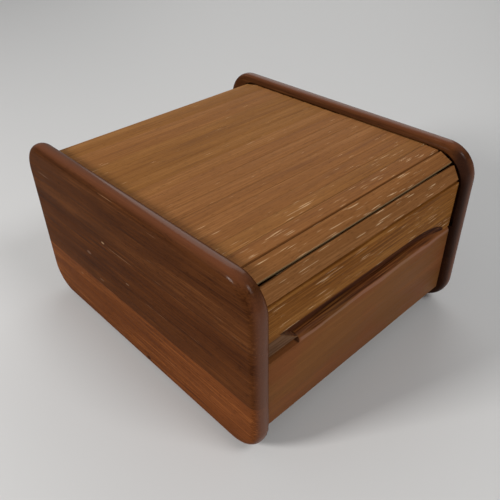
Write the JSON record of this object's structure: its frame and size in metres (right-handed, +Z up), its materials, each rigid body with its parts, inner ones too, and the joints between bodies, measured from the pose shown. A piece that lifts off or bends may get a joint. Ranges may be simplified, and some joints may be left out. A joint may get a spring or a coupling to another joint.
{
  "type": "tambour box",
  "caption": "Low wooden box with rounded side panels and a tambour cover of narrow slats that slides back in a routed track; its lead bar has a long finger scoop.",
  "frame": {"origin": "on the surface the box stands on, below the middle of the box", "axes": "+X along the slats to the right seen from the front, +Y from the front panel to the back, +Z up"},
  "size_m": [0.265, 0.3, 0.1662],
  "materials": {
    "teak_side": "oiled and varnished reddish-brown teak, glued up from three boards, glossy on the rounded edge",
    "teak_front": "satin teak with lengthwise grain",
    "teak_slat": "golden-brown open-grained teak, worn pale along the front edges",
    "plywood": "plain thin plywood",
    "beech": "unfinished beech",
    "canvas": "plain-woven cotton canvas glued behind the slats",
    "nylon": "dark moulded nail-on glide"
  },
  "bodies": {
    "case": {"left_side_panel": "teak_side", "right_side_panel": "teak_side", "front_panel": "teak_front", "front_dowel_left_1": "beech", "front_dowel_left_2": "beech", "front_dowel_right_1": "beech", "front_dowel_right_2": "beech", "left_cleat": "beech", "right_cleat": "beech", "glide_front_left": "nylon", "glide_rear_left": "nylon", "glide_front_right": "nylon", "glide_rear_right": "nylon", "bottom_board": "plywood", "false_back": "plywood", "back_panel": "teak_front", "back_rail": "teak_front"},
    "lead": {"lead_bar": "teak_slat"},
    "front_slat_1": {"slat_01": "teak_slat", "canvas_01_01": "canvas"},
    "front_slat_2": {"slat_02": "teak_slat", "canvas_02_02": "canvas"},
    "cover_top": {"slat_03": "teak_slat", "canvas_03_03": "canvas", "slat_04": "teak_slat", "slat_05": "teak_slat", "slat_06": "teak_slat", "slat_07": "teak_slat", "slat_08": "teak_slat", "slat_09": "teak_slat", "slat_10": "teak_slat", "canvas_04_10": "canvas"},
    "rear_slat_11": {"slat_11": "teak_slat", "canvas_11_11": "canvas"},
    "rear_slat_12": {"slat_12": "teak_slat", "canvas_12_12": "canvas"},
    "rear_slat_13": {"slat_13": "teak_slat", "canvas_13_13": "canvas"},
    "rear_slats_14_15": {"slat_14": "teak_slat", "canvas_14_14": "canvas", "slat_15": "teak_slat", "canvas_15_15": "canvas"},
    "rear_slats_16_17": {"slat_16": "teak_slat", "canvas_16_16": "canvas", "slat_17": "teak_slat", "canvas_17_17": "canvas"},
    "rear_slats_18_19": {"slat_18": "teak_slat", "canvas_18_18": "canvas", "slat_19": "teak_slat", "canvas_19_19": "canvas"},
    "rear_slat_20": {"slat_20": "teak_slat", "canvas_20_20": "canvas"},
    "rear_slat_21": {"slat_21": "teak_slat", "canvas_21_21": "canvas"}
  },
  "joints": [
    {"name": "tambour_travel", "type": "slide", "parent": "case", "child": "cover_top", "axis": [0, 1, 0], "range_m": [0, 0.11187]},
    {"name": "bend_front_slat_2", "type": "hinge", "parent": "cover_top", "child": "front_slat_2", "pos_m": [0, -0.11876, 0.15557], "axis": [1, 0, 0], "range_deg": [-27.15, 0.2]},
    {"name": "bend_front_slat_1", "type": "hinge", "parent": "front_slat_2", "child": "front_slat_1", "pos_m": [0, -0.13137, 0.14953], "axis": [1, 0, 0], "range_deg": [-31.31, 0.2]},
    {"name": "bend_lead", "type": "hinge", "parent": "front_slat_1", "child": "lead", "pos_m": [0, -0.13877, 0.13767], "axis": [1, 0, 0], "range_deg": [-33.14, 0.2]},
    {"name": "bend_rear_slat_11", "type": "hinge", "parent": "cover_top", "child": "rear_slat_11", "pos_m": [0, -0.0069, 0.1559], "axis": [1, 0, 0], "range_deg": [-10.36, 0.2]},
    {"name": "bend_rear_slat_12", "type": "hinge", "parent": "rear_slat_11", "child": "rear_slat_12", "pos_m": [0, 0.00708, 0.1559], "axis": [1, 0, 0], "range_deg": [-39.26, 0.2]},
    {"name": "bend_rear_slat_13", "type": "hinge", "parent": "rear_slat_12", "child": "rear_slat_13", "pos_m": [0, 0.02106, 0.1559], "axis": [1, 0, 0], "range_deg": [-37, 0.2]},
    {"name": "bend_rear_slats_14_15", "type": "hinge", "parent": "rear_slat_13", "child": "rear_slats_14_15", "pos_m": [0, 0.03505, 0.1559], "axis": [1, 0, 0], "range_deg": [-17.55, 0.2]},
    {"name": "bend_rear_slats_16_17", "type": "hinge", "parent": "rear_slats_14_15", "child": "rear_slats_16_17", "pos_m": [0, 0.06301, 0.1559], "axis": [1, 0, 0], "range_deg": [-18.07, 0.2]},
    {"name": "bend_rear_slats_18_19", "type": "hinge", "parent": "rear_slats_16_17", "child": "rear_slats_18_19", "pos_m": [0, 0.09098, 0.1559], "axis": [1, 0, 0], "range_deg": [-12.99, 0.2]},
    {"name": "bend_rear_slat_20", "type": "hinge", "parent": "rear_slats_18_19", "child": "rear_slat_20", "pos_m": [0, 0.11872, 0.15343], "axis": [1, 0, 0], "range_deg": [-0.2, 30.95]},
    {"name": "bend_rear_slat_21", "type": "hinge", "parent": "rear_slat_20", "child": "rear_slat_21", "pos_m": [0, 0.12785, 0.14285], "axis": [1, 0, 0], "range_deg": [-0.2, 28.13]}
  ],
  "couplings": [
    {"joint": "bend_front_slat_2", "follows": "tambour_travel", "rad_per_m": -4.205},
    {"joint": "bend_front_slat_1", "follows": "tambour_travel", "rad_per_m": -4.854},
    {"joint": "bend_lead", "follows": "tambour_travel", "rad_per_m": -5.1388},
    {"joint": "bend_rear_slat_11", "follows": "tambour_travel", "rad_per_m": -1.5854},
    {"joint": "bend_rear_slat_12", "follows": "tambour_travel", "rad_per_m": -6.0947},
    {"joint": "bend_rear_slat_13", "follows": "tambour_travel", "rad_per_m": -5.7414},
    {"joint": "bend_rear_slats_14_15", "follows": "tambour_travel", "rad_per_m": -2.7071},
    {"joint": "bend_rear_slats_16_17", "follows": "tambour_travel", "rad_per_m": -2.7889},
    {"joint": "bend_rear_slats_18_19", "follows": "tambour_travel", "rad_per_m": -1.9959},
    {"joint": "bend_rear_slat_20", "follows": "tambour_travel", "rad_per_m": 4.7972},
    {"joint": "bend_rear_slat_21", "follows": "tambour_travel", "rad_per_m": 4.3579}
  ]
}
